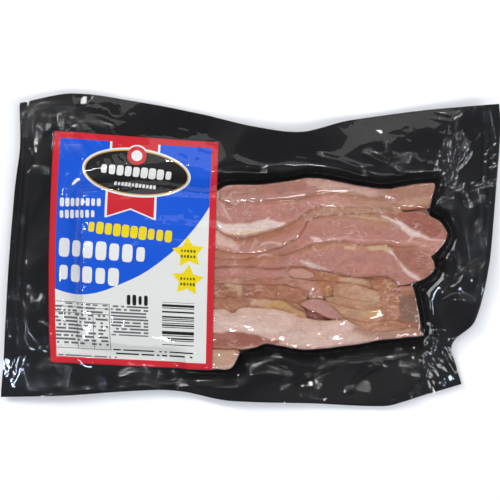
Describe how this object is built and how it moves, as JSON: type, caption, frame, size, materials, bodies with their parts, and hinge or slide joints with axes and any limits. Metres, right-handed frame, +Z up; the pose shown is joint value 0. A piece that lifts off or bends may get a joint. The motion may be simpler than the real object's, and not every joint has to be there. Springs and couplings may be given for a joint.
{
  "type": "vacuum-packed bacon",
  "caption": "Flat vacuum pouch of streaky bacon: black back film, clear front film, sealed flange all round, paper label over the left end of the pile.",
  "frame": {"origin": "on the table, below the middle of the pouch's box", "axes": "+X along the long side, away from the label; +Y across; +Z up, out of the clear front"},
  "size_m": [0.314, 0.1968, 0.024],
  "materials": {
    "black_film": "glossy",
    "label_paper": "satin"
  },
  "bodies": {
    "root": {"pouch": "black_film", "label": "label_paper"}
  },
  "joints": []
}
